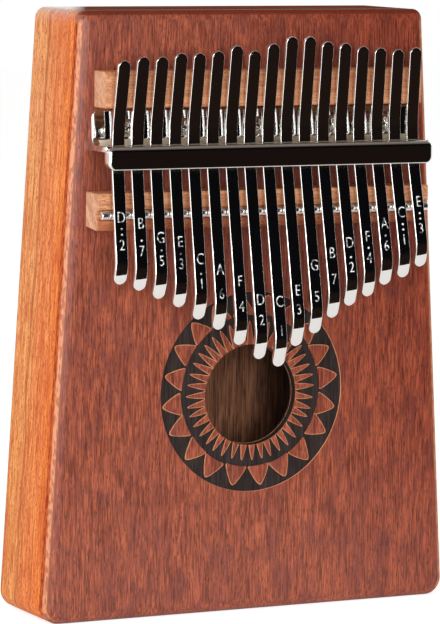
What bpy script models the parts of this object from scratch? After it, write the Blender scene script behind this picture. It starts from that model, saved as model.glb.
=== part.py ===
"""A 17-key thumb piano with a hollow wooden body and a sound hole.

It stands on its bottom end: +Z runs up to the tail end, +X is to the right as one faces the keys,
and the soundboard faces -Y. The origin is the middle of the bottom end face. Lengths are in metres,
and "height" in names below is the distance from the soundboard's face out towards the viewer.
"""

from math import acos, asin, atan, atan2, cos, hypot, pi, sin, tan

import bmesh
import bpy
from mathutils import Matrix, Vector

BODY_LENGTH = 0.180
BODY_DEPTH = 0.0345
WIDTH_AT_BOTTOM = 0.1345
WIDTH_AT_TAIL = 0.1132
BOTTOM_CORNER = 0.005
TAIL_CORNER = 0.006
EDGE_ROUND = 0.0018
SOUNDBOARD = 0.0035
CLEARANCE = 0.0003

SIDE_WALL = 0.009
BOTTOM_WALL = 0.010
BACK_WALL = 0.0045
POCKET_TOP = 0.104
POCKET_CORNER = 0.006
SOUND_HOLE_RADIUS = 0.015
SOUND_HOLE_Z = 0.0652
BACK_HOLE_RADIUS = 0.004
BACK_HOLE_X = 0.036
BACK_HOLE_Z = 0.060

REAR_BRIDGE_HALF = 0.0522
REAR_BRIDGE_LOW = 0.1520
REAR_BRIDGE_HIGH = 0.1627
REAR_BRIDGE_HEIGHT = 0.0080
FRONT_BRIDGE_HALF = 0.0546
FRONT_BRIDGE_LOW = 0.1163
FRONT_BRIDGE_HIGH = 0.1275
FRONT_BRIDGE_HEIGHT = 0.0088
BRIDGE_EASE = 0.0006
FRONT_BRIDGE_ROUND = 0.0015
ROD_RADIUS = 0.00135
ROD_HALF = 0.0539
ROD_Z = 0.1211
ROD_HEIGHT = 0.0091

BRACKET_HALF = 0.0533
FLANGE_HIGH = 0.1507
FLANGE_THICKNESS = 0.0013
FLANGE_CORNER = 0.0025
WALL_LOW = 0.1393
WALL_HIGH = 0.1412
BAR_LOW = 0.1344
BAR_BACK_HEIGHT = 0.0096
BAR_FRONT_HEIGHT = 0.0135
BAR_BACK_ROUND = 0.0017
BAR_LOW_ROUND = 0.0006
BAR_TOP_ROUND = 0.0015
BAR_END_ROUND = 0.0022
INNER_FILLET = 0.0020
FLANGE_EASE = 0.0006
WINDOW_WIDTH = 0.0049
WINDOW_BOTTOM = 0.0068
WINDOW_TOP = 0.00935

SCREW_KEYS = (2, 5, 9, 13, 16)
SCREW_Z = 0.1459
SCREW_SHANK_RADIUS = 0.0014
SCREW_HEAD_RADIUS = 0.0027
SCREW_HEAD_HEIGHT = 0.0017
SCREW_LENGTH = 0.0145
SCREW_SLOT = 0.0006
SCREW_SLOT_DEPTH = 0.0009

KEYS = 17
PITCH = 0.00611
FAN = 0.66
TINE_WIDTH = 0.0039
TINE_THICKNESS = 0.0012
TINE_REF_Z = 0.1373
VALLEY_HEIGHT = 0.0088
REAR_CORNER_Z = 0.1472
FRONT_CORNER_Z = 0.1374
REAR_SLOPE = 0.136
FRONT_SLOPE = 0.196
VALLEY_BEND = 0.030
TIP_SLOPE = -0.404
TIP_BEND = 0.0016

# Where each key ends, from left to right: its tail, its tip, and the length of its bent tip.
TAIL_Z = (166.0, 167.0, 167.0, 168.0, 168.0, 168.5, 170.0, 168.5, 170.5,
          172.5, 172.5, 171.0, 170.5, 169.5, 169.0, 168.5, 169.0)
TIP_Z = (101.4, 99.4, 96.8, 94.2, 90.4, 87.2, 82.6, 78.2, 75.7,
         81.4, 84.9, 89.2, 92.5, 95.0, 98.2, 100.2, 103.2)
TIP_LENGTH = (3.3, 4.2, 5.1, 4.7, 5.4, 5.5, 5.1, 5.6, 6.4,
              6.3, 5.4, 5.3, 5.6, 5.1, 5.3, 4.7, 4.4)
MM = 0.001

FRONT = -BODY_DEPTH / 2
BACK = BODY_DEPTH / 2


def clear_scene():
    for obj in list(bpy.data.objects):
        bpy.data.objects.remove(obj, do_unlink=True)


def material(name, colour, roughness, metallic=0.0):
    made = bpy.data.materials.new(name)
    made.use_nodes = True
    shader = made.node_tree.nodes["Principled BSDF"]
    shader.inputs["Base Color"].default_value = (*colour, 1.0)
    shader.inputs["Roughness"].default_value = roughness
    shader.inputs["Metallic"].default_value = metallic
    return made


def finish_mesh(name, shape, look, smooth=True):
    """Turns a bmesh into an object in the scene, with its faces pointing out."""
    bmesh.ops.recalc_face_normals(shape, faces=shape.faces)
    mesh = bpy.data.meshes.new(name)
    shape.to_mesh(mesh)
    shape.free()
    if look:
        mesh.materials.append(look)
    if smooth:
        mesh.shade_smooth()
        mesh.set_sharp_from_angle(angle=pi / 6)
    obj = bpy.data.objects.new(name, mesh)
    bpy.context.scene.collection.objects.link(obj)
    return obj


def loft(name, rings, look):
    """A closed solid through rings of equally many points, closed by a face at each end."""
    shape = bmesh.new()
    loops = [[shape.verts.new(point) for point in ring] for ring in rings]
    count = len(loops[0])
    for ring, following in zip(loops, loops[1:]):
        for i in range(count):
            j = (i + 1) % count
            shape.faces.new((ring[i], ring[j], following[j], following[i]))
    shape.faces.new(loops[0])
    shape.faces.new(loops[-1])
    return finish_mesh(name, shape, look)


def cylinder_y(shape, x, z, radius, start, end, segments):
    """Adds to the bmesh a round bar along Y."""
    turn = Matrix.Rotation(pi / 2, 4, "X")
    place = Matrix.Translation((x, (start + end) / 2, z)) @ turn
    bmesh.ops.create_cone(
        shape,
        cap_ends=True,
        segments=segments,
        radius1=radius,
        radius2=radius,
        depth=end - start,
        matrix=place,
    )


def box(shape, low, high):
    """Adds to the bmesh a box between two corners."""
    middle = (Vector(low) + Vector(high)) / 2
    size = Vector(high) - Vector(low)
    place = Matrix.Translation(middle) @ Matrix.Diagonal((*size, 1.0))
    bmesh.ops.create_cube(shape, size=1.0, matrix=place)


def cut(obj, cutter_shape, name):
    """Takes the bmesh away from the object with a Boolean modifier."""
    cutter = finish_mesh(name, cutter_shape, None, smooth=False)
    cutter.hide_render = True
    cutter.display_type = "WIRE"
    modifier = obj.modifiers.new(name, "BOOLEAN")
    modifier.operation = "DIFFERENCE"
    modifier.solver = "EXACT"
    modifier.object = cutter


def round_corners(points, radii, steps):
    """The closed outline with each corner replaced by an arc of its radius."""
    outline = []
    for i, corner in enumerate(points):
        corner = Vector(corner)
        before = (Vector(points[i - 1]) - corner).normalized()
        after = (Vector(points[(i + 1) % len(points)]) - corner).normalized()
        radius = radii[i]
        if radius <= 0:
            outline.append(tuple(corner))
            continue
        half = acos(max(-1.0, min(1.0, before.dot(after)))) / 2
        centre = corner + (before + after).normalized() * radius / sin(half)
        start = corner + before * radius / tan(half) - centre
        end = corner + after * radius / tan(half) - centre
        first = atan2(start.y, start.x)
        sweep = (atan2(end.y, end.x) - first + pi) % (2 * pi) - pi
        for k in range(steps + 1):
            angle = first + sweep * k / steps
            outline.append((centre.x + radius * cos(angle), centre.y + radius * sin(angle)))
    return outline


# The wooden body

def half_width(z, inset=0.0):
    """Half the body's width at z, less an inset measured square to its leaning side."""
    lean = (WIDTH_AT_BOTTOM - WIDTH_AT_TAIL) / 2 / BODY_LENGTH
    return WIDTH_AT_BOTTOM / 2 - lean * z - inset * hypot(1, lean)


def body_outline(inset, low, high, low_radius, high_radius, steps=6):
    corners = [
        (-half_width(low, inset), low),
        (half_width(low, inset), low),
        (half_width(high, inset), high),
        (-half_width(high, inset), high),
    ]
    radii = (low_radius, low_radius, high_radius, high_radius)
    return round_corners(corners, radii, steps)


def body_ring(y, inset):
    """The body's outline at depth y, drawn in by an inset all round."""
    outline = body_outline(
        inset,
        inset,
        BODY_LENGTH - inset,
        BOTTOM_CORNER - inset,
        TAIL_CORNER - inset,
    )
    return [(x, y, z) for x, z in outline]


def rounded_edge(face, inwards, steps=3):
    """Rings of a quarter-round edge that starts at a face and runs inwards along Y."""
    rings = []
    for k in range(steps + 1):
        angle = pi / 2 * k / steps
        y = face + inwards * EDGE_ROUND * (1 - cos(angle))
        rings.append(body_ring(y, EDGE_ROUND * (1 - sin(angle))))
    return rings


def screw_holes(start, end):
    shape = bmesh.new()
    for key in SCREW_KEYS:
        cylinder_y(shape, key_x(key), SCREW_Z, SCREW_SHANK_RADIUS + CLEARANCE, start, end, 16)
    return shape


def make_soundboard(look):
    rings = rounded_edge(FRONT, 1)
    rings.append(body_ring(FRONT + SOUNDBOARD, 0.0))
    board = loft("soundboard", rings, look)
    hole = bmesh.new()
    cylinder_y(hole, 0, SOUND_HOLE_Z, SOUND_HOLE_RADIUS, FRONT - 0.005, FRONT + 0.009, 64)
    cut(board, hole, "sound_hole_cutter")
    cut(board, screw_holes(FRONT - 0.005, FRONT + 0.009), "soundboard_screw_cutter")


def make_body(look):
    """One block, hollowed from the front below the tail end, with two small holes in its back."""
    front = FRONT + SOUNDBOARD + CLEARANCE
    rings = [body_ring(front, 0.0)]
    rings += reversed(rounded_edge(BACK, -1))
    body = loft("hollow_body", rings, look)

    outline = body_outline(SIDE_WALL, BOTTOM_WALL, POCKET_TOP, POCKET_CORNER, POCKET_CORNER)
    pocket = bmesh.new()
    near = [pocket.verts.new((x, front - 0.005, z)) for x, z in outline]
    far = [pocket.verts.new((x, BACK - BACK_WALL, z)) for x, z in outline]
    for i in range(len(outline)):
        j = (i + 1) % len(outline)
        pocket.faces.new((near[i], near[j], far[j], far[i]))
    pocket.faces.new(near)
    pocket.faces.new(far)
    cut(body, pocket, "pocket_cutter")

    holes = bmesh.new()
    for side in (-1, 1):
        cylinder_y(
            holes, side * BACK_HOLE_X, BACK_HOLE_Z, BACK_HOLE_RADIUS, BACK - 0.010, BACK + 0.005, 32
        )
    cut(body, holes, "back_hole_cutter")
    deepest = FRONT - FLANGE_THICKNESS + SCREW_LENGTH + 0.001
    cut(body, screw_holes(front - 0.005, deepest), "body_screw_cutter")


# The bridges and the rod

def profile_along_x(name, profile, half_length, look):
    """A bar along X from an outline of (height, z) points, lying a clearance off the soundboard."""
    rings = [[(x, FRONT - height, z) for height, z in profile] for x in (-half_length, half_length)]
    return loft(name, rings, look)


def make_rear_bridge(look):
    corners = [
        (CLEARANCE, REAR_BRIDGE_LOW),
        (REAR_BRIDGE_HEIGHT, REAR_BRIDGE_LOW),
        (REAR_BRIDGE_HEIGHT, REAR_BRIDGE_HIGH),
        (CLEARANCE, REAR_BRIDGE_HIGH),
    ]
    profile = round_corners(corners, (0, BRIDGE_EASE, BRIDGE_EASE, 0), 2)
    profile_along_x("rear_bridge", profile, REAR_BRIDGE_HALF, look)


def make_front_bridge(look):
    """The groove along its top holds the rod, and its edge under the keys is rounded over."""
    groove = ROD_RADIUS + CLEARANCE
    edge = asin((ROD_HEIGHT - FRONT_BRIDGE_HEIGHT) / groove)
    low = round_corners(
        [
            (CLEARANCE, FRONT_BRIDGE_LOW),
            (FRONT_BRIDGE_HEIGHT, FRONT_BRIDGE_LOW),
            (FRONT_BRIDGE_HEIGHT, FRONT_BRIDGE_HIGH),
            (CLEARANCE, FRONT_BRIDGE_HIGH),
        ],
        (0, FRONT_BRIDGE_ROUND, BRIDGE_EASE, 0),
        4,
    )
    steps = 10
    arc = []
    for k in range(steps + 1):
        angle = pi + edge + (pi - 2 * edge) * k / steps
        arc.append((ROD_HEIGHT + groove * sin(angle), ROD_Z + groove * cos(angle)))
    profile = low[:6] + arc + low[6:]
    profile_along_x("front_bridge", profile, FRONT_BRIDGE_HALF, look)


def make_rod(look):
    shape = bmesh.new()
    place = Matrix.Translation((0, FRONT - ROD_HEIGHT, ROD_Z)) @ Matrix.Rotation(pi / 2, 4, "Y")
    bmesh.ops.create_cone(
        shape,
        cap_ends=True,
        segments=24,
        radius1=ROD_RADIUS,
        radius2=ROD_RADIUS,
        depth=2 * ROD_HALF,
        matrix=place,
    )
    finish_mesh("bridge_rod", shape, look)


# The pressure bracket and its screws

def make_bracket(look):
    """A screwed flange, a wall with a window for each key, and the bar that holds the keys down."""
    flange_top = CLEARANCE + FLANGE_THICKNESS
    corners = [
        (CLEARANCE, FLANGE_HIGH),
        (CLEARANCE, WALL_LOW),
        (BAR_BACK_HEIGHT, WALL_LOW),
        (BAR_BACK_HEIGHT, BAR_LOW),
        (BAR_FRONT_HEIGHT, BAR_LOW),
        (BAR_FRONT_HEIGHT, WALL_HIGH),
        (flange_top, WALL_HIGH),
        (flange_top, FLANGE_HIGH),
    ]
    radii = (0, 0, 0, BAR_BACK_ROUND, BAR_LOW_ROUND, BAR_TOP_ROUND, INNER_FILLET, FLANGE_EASE)
    profile = round_corners(corners, radii, 4)
    bracket = profile_along_x("pressure_bracket", profile, BRACKET_HALF, look)

    windows = bmesh.new()
    for key in range(1, KEYS + 1):
        x = key_x(key)
        box(
            windows,
            (x - WINDOW_WIDTH / 2, FRONT - WINDOW_TOP, WALL_LOW - 0.001),
            (x + WINDOW_WIDTH / 2, FRONT - WINDOW_BOTTOM, WALL_HIGH + 0.001),
        )
    cut(bracket, windows, "window_cutter")
    cut(bracket, screw_holes(FRONT - 0.005, FRONT + 0.002), "flange_screw_cutter")
    cut(bracket, corner_waste(), "bracket_corner_cutter")


def corner_waste():
    """What is cut away to round the flange's tail corners and the bar's four end corners, in plan."""
    shape = bmesh.new()
    corners = (
        (FLANGE_HIGH, 1, FLANGE_CORNER, -0.001, FLANGE_THICKNESS + 0.002),
        (BAR_LOW, -1, BAR_END_ROUND, BAR_BACK_HEIGHT - 0.0005, BAR_FRONT_HEIGHT + 0.001),
    )
    steps = 5
    margin = 0.001
    for z, outwards, radius, near, far in corners:
        for side in (-1, 1):
            centre_x = side * (BRACKET_HALF - radius)
            centre_z = z - outwards * radius
            outline = []
            for k in range(steps + 1):
                angle = pi / 2 * k / steps
                x = centre_x + side * radius * cos(angle)
                outline.append((x, centre_z + outwards * radius * sin(angle)))
            outline.append((centre_x, z + outwards * margin))
            outline.append((side * (BRACKET_HALF + margin), z + outwards * margin))
            outline.append((side * (BRACKET_HALF + margin), centre_z))
            low = [shape.verts.new((x, FRONT - near, zz)) for x, zz in outline]
            high = [shape.verts.new((x, FRONT - far, zz)) for x, zz in outline]
            for i in range(len(outline)):
                j = (i + 1) % len(outline)
                shape.faces.new((low[i], low[j], high[j], high[i]))
            shape.faces.new(low)
            shape.faces.new(high)
    return shape


def make_screw(number, key, look):
    """A pan-head wood screw with a crossed recess, its head on the flange."""
    seat = FRONT - 2 * CLEARANCE - FLANGE_THICKNESS
    outline = [
        (0.0, SCREW_LENGTH),
        (SCREW_SHANK_RADIUS, SCREW_LENGTH - 0.0025),
        (SCREW_SHANK_RADIUS, 0.0),
        (SCREW_HEAD_RADIUS, 0.0),
        (SCREW_HEAD_RADIUS, -SCREW_HEAD_HEIGHT * 0.45),
        (SCREW_HEAD_RADIUS * 0.8, -SCREW_HEAD_HEIGHT * 0.85),
        (SCREW_HEAD_RADIUS * 0.4, -SCREW_HEAD_HEIGHT),
        (0.0, -SCREW_HEAD_HEIGHT),
    ]
    segments = 16
    shape = bmesh.new()
    point = shape.verts.new((0, outline[0][1], 0))
    top = shape.verts.new((0, outline[-1][1], 0))
    rings = []
    for radius, y in outline[1:-1]:
        turns = [2 * pi * k / segments for k in range(segments)]
        rings.append([shape.verts.new((radius * cos(a), y, radius * sin(a))) for a in turns])
    for i in range(segments):
        j = (i + 1) % segments
        shape.faces.new((point, rings[0][i], rings[0][j]))
        shape.faces.new((top, rings[-1][j], rings[-1][i]))
        for ring, following in zip(rings, rings[1:]):
            shape.faces.new((ring[i], ring[j], following[j], following[i]))
    screw = finish_mesh(f"bracket_screw_{number}", shape, look)
    screw.location = (key_x(key), seat, SCREW_Z)

    recess = bmesh.new()
    reach = SCREW_HEAD_RADIUS * 0.6
    floor = -SCREW_HEAD_HEIGHT + SCREW_SLOT_DEPTH
    for long_x in (True, False):
        half_x, half_z = (reach, SCREW_SLOT / 2) if long_x else (SCREW_SLOT / 2, reach)
        box(recess, (-half_x, -0.003, -half_z), (half_x, floor, half_z))
    cut(screw, recess, f"screw_recess_cutter_{number}")
    bpy.data.objects[f"screw_recess_cutter_{number}"].parent = screw


# The keys

def key_x(key):
    """Where a key crosses the bracket's wall, counting keys from 1 at the left."""
    return (key - (KEYS + 1) / 2) * PITCH


def front_height(z):
    """Height of a key's top surface on its straight run over the rod."""
    return VALLEY_HEIGHT + FRONT_SLOPE * (FRONT_CORNER_Z - z)


def rear_height(z):
    """Height of a key's top surface on its straight run over the rear bridge."""
    return VALLEY_HEIGHT + REAR_SLOPE * (z - REAR_CORNER_Z)


def bend(points, radii, steps=4):
    """The open path with its inner corners replaced by arcs."""
    path = [points[0]]
    for i in range(1, len(points) - 1):
        corner = Vector(points[i])
        before = (Vector(points[i - 1]) - corner).normalized()
        after = (Vector(points[i + 1]) - corner).normalized()
        half = acos(max(-1.0, min(1.0, before.dot(after)))) / 2
        centre = corner + (before + after).normalized() * radii[i] / sin(half)
        start = corner + before * radii[i] / tan(half) - centre
        end = corner + after * radii[i] / tan(half) - centre
        first = atan2(start.y, start.x)
        sweep = (atan2(end.y, end.x) - first + pi) % (2 * pi) - pi
        for k in range(steps + 1):
            angle = first + sweep * k / steps
            path.append((centre.x + radii[i] * cos(angle), centre.y + radii[i] * sin(angle)))
    path.append(points[-1])
    return path


def round_end(path, steps=5):
    """Stations along the path as (point, half width), its last end half round in plan."""
    end = Vector(path[-1])
    back = (Vector(path[-2]) - end).normalized()
    radius = TINE_WIDTH / 2
    stations = [(Vector(point), radius) for point in path[:-1]]
    for k in range(steps + 1):
        angle = (pi / 2) * k / steps
        along = radius * (1 - sin(angle))
        stations.append((end + back * along, max(radius * cos(angle), radius * 0.12)))
    return stations


def strip(name, stations, pivot, look):
    """A flat strip through (height, z) stations of its top surface, placed about the pivot."""
    rings = []
    for i, (point, half) in enumerate(stations):
        ahead = stations[min(i + 1, len(stations) - 1)][0]
        behind = stations[max(i - 1, 0)][0]
        run = (ahead - behind).normalized()
        inwards = Vector((-run.y, run.x)) if run.y > 0 else Vector((run.y, -run.x))
        under = point + inwards * TINE_THICKNESS
        rings.append(
            [
                (-half, pivot[0] - point.x, point.y - pivot[1]),
                (half, pivot[0] - point.x, point.y - pivot[1]),
                (half, pivot[0] - under.x, under.y - pivot[1]),
                (-half, pivot[0] - under.x, under.y - pivot[1]),
            ]
        )
    return loft(name, rings, look)


def make_key(key, look):
    """One key in two stretches, split over the rod: the clamped tang and the plucked tongue."""
    name = f"tine_{key:02d}"
    half_gap = CLEARANCE / 2
    tail = TAIL_Z[key - 1] * MM
    tip = TIP_Z[key - 1] * MM
    tip_length = TIP_LENGTH[key - 1] * MM
    bend_z = tip + tip_length * cos(atan(TIP_SLOPE))

    tang_path = bend(
        [
            (front_height(ROD_Z + half_gap), ROD_Z + half_gap),
            (VALLEY_HEIGHT, FRONT_CORNER_Z),
            (VALLEY_HEIGHT, REAR_CORNER_Z),
            (rear_height(tail), tail),
        ],
        (0, VALLEY_BEND, VALLEY_BEND, 0),
    )
    tang = strip(f"{name}_tang", round_end(tang_path), (0.0, TINE_REF_Z), look)
    tang.location = (key_x(key), FRONT, TINE_REF_Z)
    tang.rotation_euler.y = -FAN * key_x(key)

    pivot = (front_height(ROD_Z) - TINE_THICKNESS * hypot(1, FRONT_SLOPE), ROD_Z)
    tongue_path = bend(
        [
            (front_height(ROD_Z - half_gap), ROD_Z - half_gap),
            (front_height(bend_z), bend_z),
            (front_height(bend_z) + TIP_SLOPE * (bend_z - tip), tip),
        ],
        (0, TIP_BEND, 0),
    )
    tongue = strip(f"{name}_tongue", round_end(tongue_path), pivot, look)
    tongue.parent = tang
    tongue.location = (0.0, -pivot[0], pivot[1] - TINE_REF_Z)


def main():
    clear_scene()
    red_wood = material("sapele_soundboard", (0.33, 0.084, 0.048), 0.45)
    gold_wood = material("sapele_body", (0.62, 0.24, 0.09), 0.5)
    bridge_wood = material("bridge_wood", (0.58, 0.27, 0.15), 0.6)
    steel = material("nickelled_steel", (0.70, 0.68, 0.65), 0.12, 1.0)
    chrome = material("chromed_zinc", (0.62, 0.61, 0.60), 0.08, 1.0)

    make_soundboard(red_wood)
    make_body(gold_wood)
    make_rear_bridge(bridge_wood)
    make_front_bridge(bridge_wood)
    make_rod(steel)
    make_bracket(chrome)
    for number, key in enumerate(SCREW_KEYS, start=1):
        make_screw(number, key, steel)
    for key in range(1, KEYS + 1):
        make_key(key, steel)


main()
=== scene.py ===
"""A thumb piano with seventeen steel keys on a hollow sapele body, standing on its bottom end.

Lengths are in metres, in the frame of the CAD model: +Z along the keys to the tail end, and the
soundboard facing -Y.
"""

from math import acos, asin, atan, atan2, cos, hypot, pi, sin, sqrt, tan

import bmesh
import bpy
from mathutils import Matrix, Vector
from mathutils.geometry import tessellate_polygon


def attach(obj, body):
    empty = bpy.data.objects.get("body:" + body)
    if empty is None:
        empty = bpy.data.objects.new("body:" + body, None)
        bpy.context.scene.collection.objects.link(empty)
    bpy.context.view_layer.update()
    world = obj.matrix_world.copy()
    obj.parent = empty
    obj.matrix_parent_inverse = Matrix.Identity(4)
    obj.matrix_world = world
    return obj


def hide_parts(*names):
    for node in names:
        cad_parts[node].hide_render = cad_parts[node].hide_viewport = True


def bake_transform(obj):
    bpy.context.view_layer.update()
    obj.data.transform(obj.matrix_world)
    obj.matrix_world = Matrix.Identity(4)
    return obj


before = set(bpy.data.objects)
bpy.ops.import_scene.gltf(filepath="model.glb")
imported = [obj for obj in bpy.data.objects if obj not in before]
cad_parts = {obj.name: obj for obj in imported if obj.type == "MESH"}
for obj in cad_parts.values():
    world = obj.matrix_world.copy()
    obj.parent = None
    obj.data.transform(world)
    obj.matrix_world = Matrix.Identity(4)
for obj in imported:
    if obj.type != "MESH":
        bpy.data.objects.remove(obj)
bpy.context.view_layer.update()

# The view: a long lens a little above the keys and to their left, level but for a slight roll.
azimuth = -0.458957
elevation = 0.112769
roll = 0.012236
distance = 1.153
target = Vector((-0.002037, 0.0, 0.088308))
focal_length = 3817.17
picture_height = 624
ahead = Vector((-sin(azimuth) * cos(elevation), cos(azimuth) * cos(elevation), -sin(elevation)))
level = Vector((cos(azimuth), sin(azimuth), 0.0))
upright = level.cross(ahead)
right = cos(roll) * level + sin(roll) * upright
above = cos(roll) * upright - sin(roll) * level
place = Matrix((right, above, -ahead)).transposed().to_4x4()
place.translation = target - ahead * distance


def placed(name, data):
    """A new object in the scene, made from its data."""
    thing = bpy.data.objects.new(name, data)
    bpy.context.scene.collection.objects.link(thing)
    return thing


lens = bpy.data.cameras.new("camera")
lens.sensor_width = 36.0
# The focal length is in pixels of the picture.
lens.lens = focal_length * lens.sensor_width / picture_height
lens.clip_start = 0.05
lens.clip_end = 20.0
camera = placed("camera", lens)
camera.matrix_world = place
bpy.context.scene.camera = camera
bpy.context.scene.view_settings.view_transform = "Standard"


# The studio: a white sweep under and behind the object, soft light all round, soft boxes in front and to
# the left, and behind the camera a dark room with a grey ceiling, which the bright metal mirrors.
def colour(code):
    """An sRGB hex colour as linear values, with an alpha of 1."""
    parts = [int(code[i:i + 2], 16) / 255 for i in (0, 2, 4)]
    return (*[c / 12.92 if c <= 0.04045 else ((c + 0.055) / 1.055) ** 2.4 for c in parts], 1.0)


def add(tree, kind, values=None, links=None, **settings):
    """Adds a node with its own settings, its sockets' values and the links into it."""
    node = tree.nodes.new(kind)
    for name, value in settings.items():
        setattr(node, name, value)
    for socket, value in (values or {}).items():
        node.inputs[socket].default_value = value
    for socket, source in (links or {}).items():
        tree.links.new(source, node.inputs[socket])
    return node


world = bpy.data.worlds.new("studio")
world.use_nodes = True
bpy.context.scene.world = world
sky = world.node_tree
sky.nodes.clear()
direction = add(sky, "ShaderNodeTexCoord").outputs["Generated"]
towards_room = (0.57, -0.82, 0.0)
facing = add(sky, "ShaderNodeVectorMath", {1: towards_room}, {0: direction}, operation="DOT_PRODUCT")
height = add(sky, "ShaderNodeSeparateXYZ", links={0: direction}).outputs["Z"]
over = add(sky, "ShaderNodeMath", {1: 0.0}, {0: height}, operation="MAXIMUM")
facing = add(
    sky, "ShaderNodeMath", {1: 0.42}, {0: over.outputs[0], 2: facing.outputs["Value"]},
    operation="MULTIPLY_ADD",
)
room = add(sky, "ShaderNodeMapRange", {"From Min": 0.70, "From Max": 0.80}, {"Value": facing.outputs[0]})
floor_side = add(sky, "ShaderNodeMapRange", {"From Min": 0.05, "From Max": -0.12}, {"Value": height})
dark = add(
    sky, "ShaderNodeMix", {"A": colour("08080A"), "B": colour("1D1410")},
    {"Factor": floor_side.outputs[0]}, data_type="RGBA",
)
upper = add(sky, "ShaderNodeMapRange", {"From Min": 0.46, "From Max": 0.86}, {"Value": height})
dark = add(
    sky, "ShaderNodeMix", {"B": colour("847972")},
    {"Factor": upper.outputs[0], "A": dark.outputs["Result"]}, data_type="RGBA",
)
ceiling = add(sky, "ShaderNodeMapRange", {"From Min": 0.40, "From Max": 0.85}, {"Value": height})
pale = add(
    sky, "ShaderNodeMix", {"A": colour("FFFFFF"), "B": colour("7C7672")},
    {"Factor": ceiling.outputs[0]}, data_type="RGBA",
)
mirrored = add(
    sky, "ShaderNodeMix",
    links={"Factor": room.outputs[0], "A": pale.outputs["Result"], "B": dark.outputs["Result"]},
    data_type="RGBA",
)
rays = add(sky, "ShaderNodeLightPath")
seen = add(
    sky, "ShaderNodeMix", {"B": colour("FFFFFF")},
    {"Factor": rays.outputs["Is Camera Ray"], "A": mirrored.outputs["Result"]}, data_type="RGBA",
)
sharp = add(
    sky, "ShaderNodeMath", links={0: rays.outputs["Is Glossy Ray"], 1: rays.outputs["Is Transmission Ray"]},
    operation="MAXIMUM",
)
direct = add(
    sky, "ShaderNodeMath", links={0: sharp.outputs[0], 1: rays.outputs["Is Camera Ray"]},
    operation="MAXIMUM",
)
lit = add(
    sky, "ShaderNodeMix", {"A": (0.32, 0.32, 0.32, 1.0)},
    {"Factor": direct.outputs[0], "B": seen.outputs["Result"]}, data_type="RGBA",
)
back = add(sky, "ShaderNodeBackground", links={"Color": lit.outputs["Result"]})
add(sky, "ShaderNodeOutputWorld", links={"Surface": back.outputs[0]})


def soft_box(name, towards, reach, wide, tall, watts, shows):
    """A soft box out along a direction from the object's middle, facing it, which metal mirrors or not."""
    lamp = bpy.data.lights.new(name, "AREA")
    lamp.shape = "RECTANGLE"
    lamp.size = wide
    lamp.size_y = tall
    lamp.energy = watts
    box = placed(name, lamp)
    out = Vector(towards).normalized()
    box.location = Vector((0.0, 0.0, 0.09)) + out * reach
    box.rotation_euler = out.to_track_quat("Z", "Y").to_euler()
    box.visible_glossy = shows


soft_box("front_light", (0.17, -0.98, 0.12), 1.25, 0.34, 0.50, 2.7, False)
soft_box("fill_light", (-0.46, -0.88, 0.12), 1.25, 0.70, 0.60, 2.6, False)
soft_box("edge_light", (-0.15, -0.98, 0.12), 1.25, 0.30, 0.40, 3.2, True)
soft_box("left_light", (-0.75, -0.66, 0.10), 1.3, 0.7, 0.9, 4.5, True)
soft_box("side_light", (-1.0, -0.10, 0.20), 1.3, 0.6, 0.6, 6.0, False)


def material(name):
    """A new material, its node tree and its shader."""
    look = bpy.data.materials.new(name)
    look.use_nodes = True
    return look, look.node_tree, look.node_tree.nodes["Principled BSDF"]


# Matt white paper, which glows a little so that it stays white to the camera and in the metal.
paper, tree, shader = material("white_paper_sweep")
shader.inputs["Base Color"].default_value = colour("F7F7F6")
shader.inputs["Roughness"].default_value = 0.9
shader.inputs["Specular IOR Level"].default_value = 0.1
rays = add(tree, "ShaderNodeLightPath")
mirror_lift = add(
    tree, "ShaderNodeMath", {1: 0.34}, {0: rays.outputs["Is Glossy Ray"]}, operation="MULTIPLY",
)
lift = add(
    tree, "ShaderNodeMath", {1: 0.68}, {0: rays.outputs["Is Camera Ray"], 2: mirror_lift.outputs[0]},
    operation="MULTIPLY_ADD",
)
shader.inputs["Emission Color"].default_value = colour("FFFFFF")
tree.links.new(lift.outputs[0], shader.inputs["Emission Strength"])
floor_mesh = bpy.data.meshes.new("floor")
edge = 3.0
front_edge = -0.17
low = -0.0002
floor_mesh.from_pydata(
    [(-edge, front_edge, low), (edge, front_edge, low), (edge, edge, low), (-edge, edge, low)],
    [], [(0, 1, 2, 3)],
)
floor_mesh.materials.append(paper)
floor = placed("floor", floor_mesh)

# The hollow body: one block of golden sapele, hollowed out from the front below its solid tail, with its
# back edges rounded over and two small finger holes drilled in the back. The soundboard is glued to its
# front rim.
LENGTH = 0.180
WIDTH_AT_BOTTOM = 0.1345
WIDTH_AT_TAIL = 0.1132
FRONT = -0.01725
BACK = 0.01725
BOARD_BACK = FRONT + 0.0035
BODY_FRONT = BOARD_BACK + 0.0001
BACK_ROUND = 0.0024
LOW_CORNER = 0.0052
HIGH_CORNER = 0.0032
LEAN = (WIDTH_AT_BOTTOM - WIDTH_AT_TAIL) / 2 / LENGTH
SIDE_WALL = 0.009
BACK_WALL = 0.0045
POCKET_LOW = 0.010
POCKET_HIGH = 0.104
POCKET_CORNER = 0.006
FINGER_HOLE = 0.004
FINGER_HOLE_X = 0.036
FINGER_HOLE_Z = 0.060


def corner_arc(previous, corner, following, radius, steps):
    """Points on the arc that rounds off a corner of a path."""
    corner = Vector(corner)
    before = (Vector(previous) - corner).normalized()
    after = (Vector(following) - corner).normalized()
    half = acos(max(-1.0, min(1.0, before.dot(after)))) / 2
    centre = corner + (before + after).normalized() * radius / sin(half)
    start = corner + before * radius / tan(half) - centre
    end = corner + after * radius / tan(half) - centre
    first = atan2(start.y, start.x)
    sweep = (atan2(end.y, end.x) - first + pi) % (2 * pi) - pi
    turns = [first + sweep * k / steps for k in range(steps + 1)]
    return [(centre.x + radius * cos(turn), centre.y + radius * sin(turn)) for turn in turns]


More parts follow.
